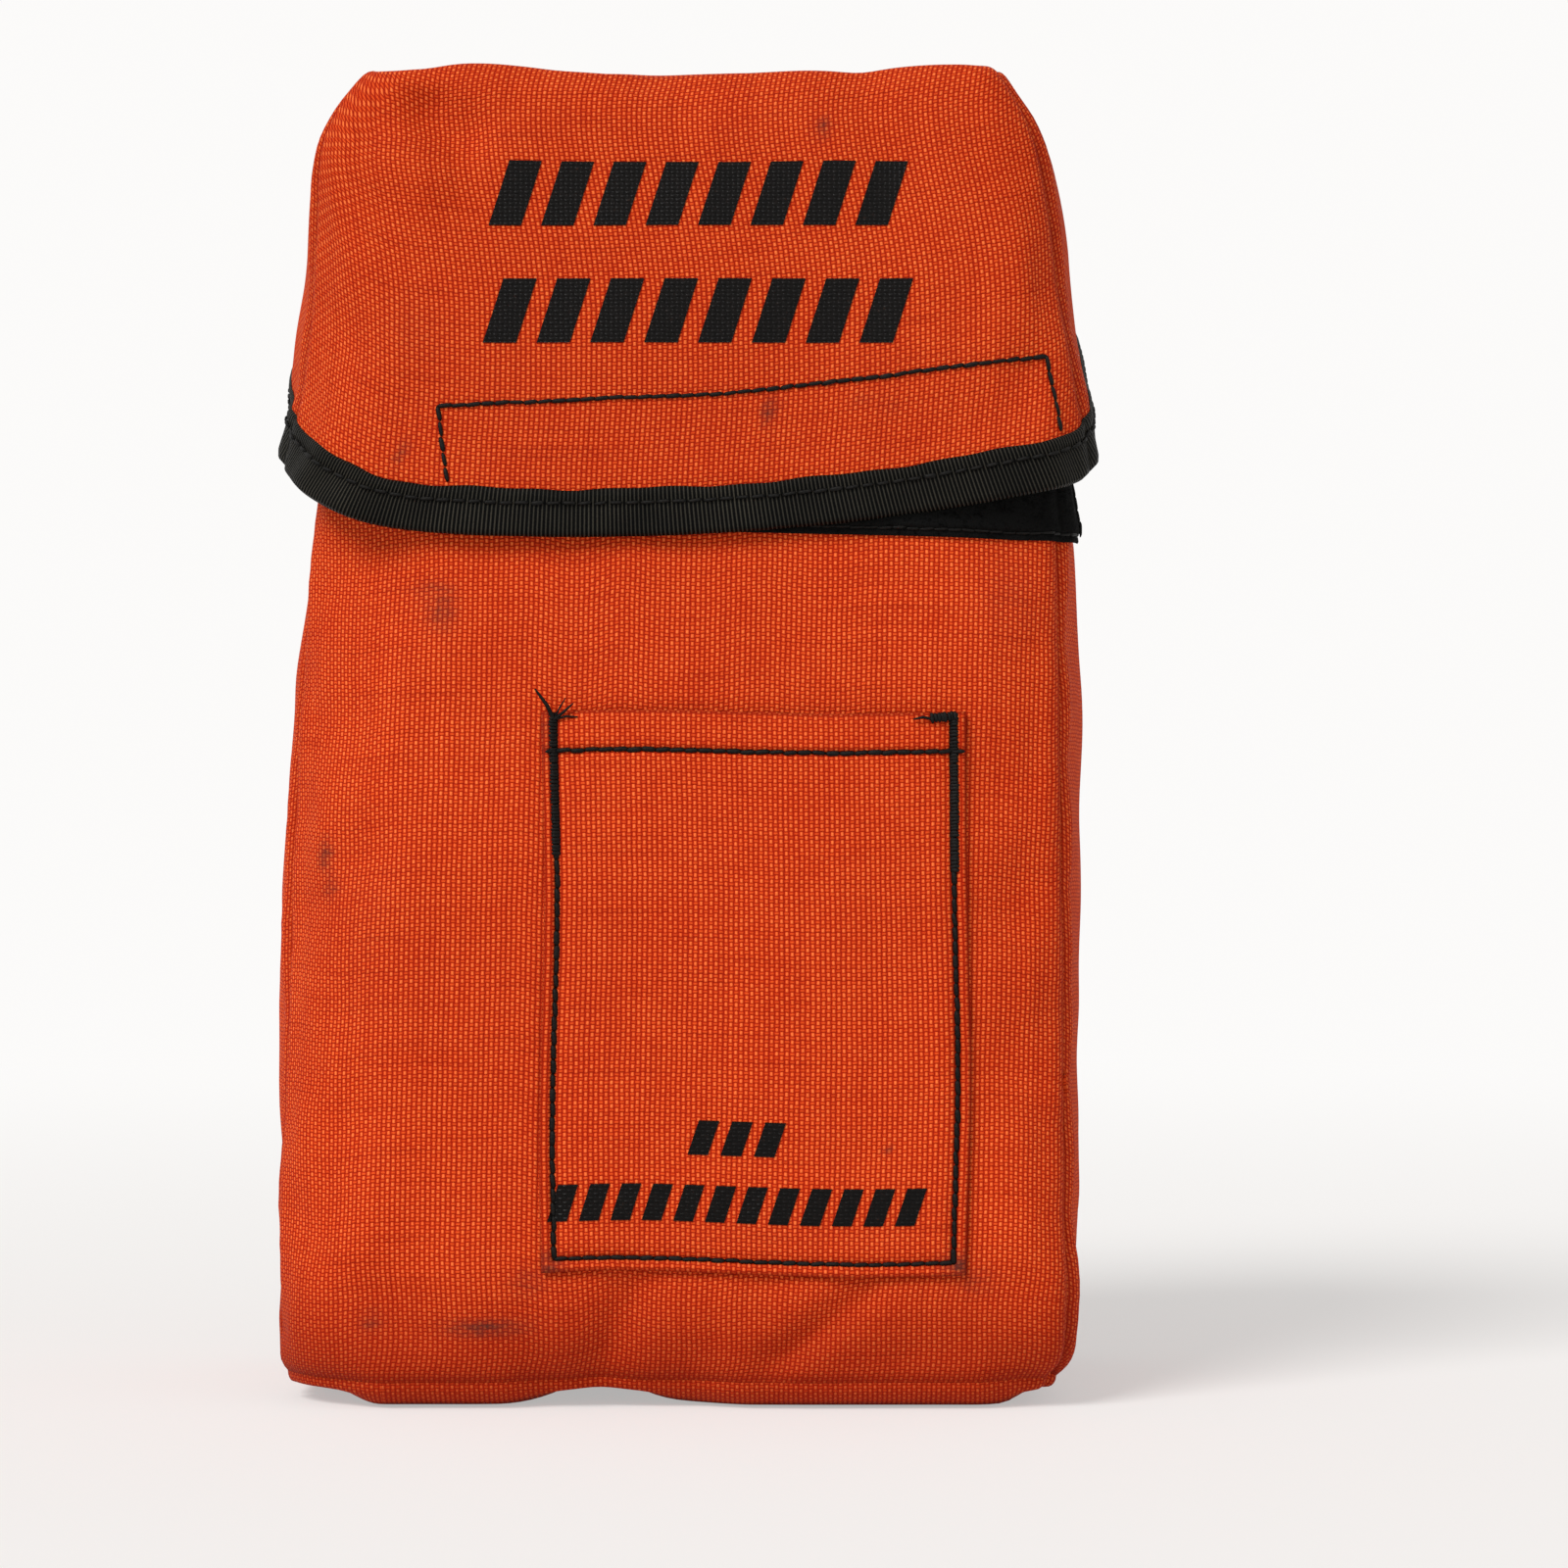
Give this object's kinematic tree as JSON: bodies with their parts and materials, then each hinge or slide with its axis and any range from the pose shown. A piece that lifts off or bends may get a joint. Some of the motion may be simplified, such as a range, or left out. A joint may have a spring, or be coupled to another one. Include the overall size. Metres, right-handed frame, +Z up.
{
  "type": "fire resistant battery safe bag",
  "caption": "Upright padded fabric pouch with a patch pocket, fire resistant liner and a hinged hood lid closed by hook and loop tape.",
  "frame": {"origin": "centre of the base, on the surface that the bag stands on", "axes": "+Z up through the mouth, -Y towards the front with the pocket, +X to the right seen from the front"},
  "size_m": [0.1474, 0.0935, 0.247],
  "materials": {
    "orange_cloth": "coated plain weave nylon, low sheen",
    "lid_lining": "coated reverse of the orange cloth, matt",
    "fibre_padding": "soft fibre felt",
    "fire_liner": "smooth woven glass cloth with a silvery coat",
    "black_binding": "ribbed tape, matt",
    "loop_pile": "fuzzy loop pile",
    "hook_pile": "dense plastic hooks on woven tape",
    "black_thread": "bonded sewing thread"
  },
  "bodies": {
    "pouch": {"front_panel": "orange_cloth", "back_panel": "orange_cloth", "left_gusset": "orange_cloth", "right_gusset": "orange_cloth", "bottom_panel": "orange_cloth", "front_padding": "fibre_padding", "back_padding": "fibre_padding", "left_padding": "fibre_padding", "right_padding": "fibre_padding", "bottom_padding": "fibre_padding", "front_liner": "fire_liner", "back_liner": "fire_liner", "left_liner": "fire_liner", "right_liner": "fire_liner", "bottom_liner": "fire_liner", "mouth_binding": "black_binding", "loop_strip": "loop_pile", "pocket_patch": "orange_cloth", "pocket_margins": "orange_cloth", "pocket_hem": "orange_cloth", "pocket_bar_tacks": "black_thread"},
    "lid": {"lid_top": "orange_cloth", "lid_front": "orange_cloth", "lid_left_ear": "orange_cloth", "lid_right_ear": "orange_cloth", "lid_top_lining": "lid_lining", "lid_front_lining": "lid_lining", "lid_left_ear_lining": "lid_lining", "lid_right_ear_lining": "lid_lining", "hook_strip": "hook_pile", "lid_binding": "black_binding", "hinge_fold": "orange_cloth"}
  },
  "joints": [
    {"name": "lid_hinge", "type": "hinge", "parent": "pouch", "child": "lid", "pos_m": [0, 0.0378, 0.2454], "axis": [-1, 0, 0], "range_deg": [0, 180]}
  ]
}
